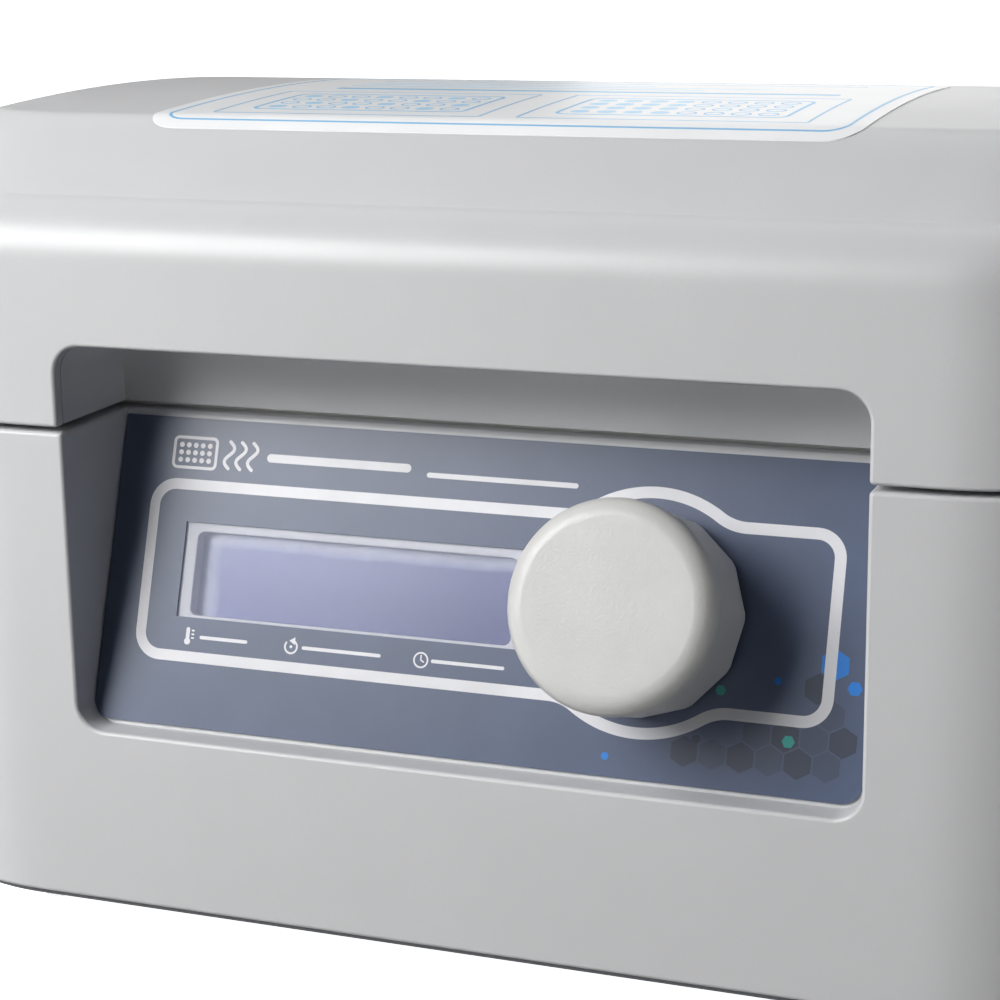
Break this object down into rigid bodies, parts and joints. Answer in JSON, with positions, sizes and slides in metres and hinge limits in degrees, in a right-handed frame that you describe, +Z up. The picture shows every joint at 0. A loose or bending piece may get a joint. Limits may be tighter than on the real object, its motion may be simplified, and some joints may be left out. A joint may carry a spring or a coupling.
{
  "type": "microplate incubator",
  "caption": "Benchtop heated shaker for microplates: rounded plastic housing, hinged domed lid, sloped panel with display and push-and-turn knob, orbiting heated platform inside.",
  "frame": {"origin": "middle of the footprint on the surface the feet stand on, counting knob and hinges in the depth", "axes": "+X to the user's right when facing the control panel, +Y to the rear, +Z up; lid shut"},
  "size_m": [0.236, 0.2074, 0.1481],
  "materials": {
    "shell": "fine spark texture",
    "liner": "satin",
    "bottom": "satin",
    "foot": "matte",
    "steel": "machined",
    "zinc": "satin",
    "film": "fine grained satin",
    "window": "clear",
    "lcd": "smooth",
    "board": "satin",
    "encoder": "satin",
    "knob": "fine grained",
    "plunger": "smooth",
    "brass": "turned",
    "black": "smooth",
    "pins": "polished",
    "drawer": "smooth",
    "rocker": "smooth",
    "alu": "satin",
    "motor": "satin",
    "weight": "machined",
    "bearing": "polished",
    "pad": "silicone sheet",
    "foam": "foam",
    "seal": "silicone",
    "label": "printed sheet",
    "magnet": "plated",
    "sensor": "satin"
  },
  "bodies": {
    "root": {"base_housing": "shell", "bottom_plate": "bottom", "feet": "foot", "bottom_screws": "steel", "panel_overlay": "film", "display_window": "window", "display_glass": "lcd", "display_module": "board", "display_screws": "steel", "encoder_body": "encoder", "encoder_nut": "zinc", "control_board": "board", "power_board": "board", "board_spacers": "brass", "board_screws": "steel", "power_inlet": "black", "inlet_pins": "pins", "switch_frame": "black", "chamber_liner": "liner", "mechanism_plate": "alu", "plate_spacers": "alu", "spacer_screws": "steel", "motor_body": "motor", "motor_screws": "steel", "idler_housings": "alu", "idler_bearings": "bearing", "lid_sensor": "sensor", "base_hinge_brackets": "zinc", "base_hinge_screws": "steel"},
    "plunger": {"push_plunger": "plunger"},
    "knob": {"encoder_shaft": "steel", "knob_body": "knob", "knob_cap": "knob"},
    "fuse_tray": {"fuse_drawer": "drawer"},
    "rocker": {"switch_rocker": "rocker"},
    "crank": {"motor_shaft": "steel", "eccentric_hub": "brass", "hub_screw": "steel", "counterweight": "weight"},
    "platform": {"shaker_platform": "alu", "nest_frame": "alu", "platform_bearings": "bearing", "heating_pad": "pad", "temperature_probe": "steel", "plate_clips": "steel"},
    "idler_left": {"idler_crank_left": "brass"},
    "idler_right": {"idler_crank_right": "brass"},
    "idler_rear": {"idler_crank_rear": "brass"},
    "lid": {"lid_cover": "shell", "lid_liner": "liner", "grip_pocket": "shell", "lid_insulation": "foam", "lid_heater_plate": "alu", "lid_seal": "seal", "lid_screws": "steel", "lid_label": "label", "lid_magnet": "magnet", "lid_hinge_brackets": "zinc", "lid_hinge_screws": "steel", "hinge_pins": "steel"}
  },
  "joints": [
    {"name": "knob_push", "type": "slide", "parent": "root", "child": "plunger", "axis": [0, 0.9452, -0.3266], "range_m": [0, 0.0006], "stiffness_N_per_m": 4000, "springref_m": -0.0004},
    {"name": "knob_turn", "type": "hinge", "parent": "plunger", "child": "knob", "pos_m": [0.0312, -0.07769, 0.06701], "axis": [0, -0.9452, 0.3266], "continuous": true},
    {"name": "fuse_drawer_slide", "type": "slide", "parent": "root", "child": "fuse_tray", "axis": [0, 1, 0], "range_m": [0, 0.02]},
    {"name": "switch_rock", "type": "hinge", "parent": "root", "child": "rocker", "pos_m": [0.034, 0.09333, 0.04], "axis": [1, 0, 0], "range_deg": [0, 16]},
    {"name": "crank_spin", "type": "hinge", "parent": "root", "child": "crank", "pos_m": [0, 0.01033, 0.07], "axis": [0, 0, 1], "continuous": true},
    {"name": "platform_orbit", "type": "hinge", "parent": "crank", "child": "platform", "pos_m": [0.0015, 0.01033, 0.08], "axis": [0, 0, 1], "continuous": true},
    {"name": "idler_left_spin", "type": "hinge", "parent": "root", "child": "idler_left", "pos_m": [-0.07, -0.03567, 0.07], "axis": [0, 0, 1], "continuous": true},
    {"name": "idler_right_spin", "type": "hinge", "parent": "root", "child": "idler_right", "pos_m": [0.07, -0.03567, 0.07], "axis": [0, 0, 1], "continuous": true},
    {"name": "idler_rear_spin", "type": "hinge", "parent": "root", "child": "idler_rear", "pos_m": [0, 0.06832, 0.07], "axis": [0, 0, 1], "continuous": true},
    {"name": "lid_hinge", "type": "hinge", "parent": "root", "child": "lid", "pos_m": [0, 0.09953, 0.0945], "axis": [-1, 0, 0], "range_deg": [0, 85]}
  ],
  "couplings": [
    {"joint": "platform_orbit", "follows": "crank_spin", "ratio": -1},
    {"joint": "idler_left_spin", "follows": "crank_spin", "ratio": 1},
    {"joint": "idler_right_spin", "follows": "crank_spin", "ratio": 1},
    {"joint": "idler_rear_spin", "follows": "crank_spin", "ratio": 1}
  ]
}
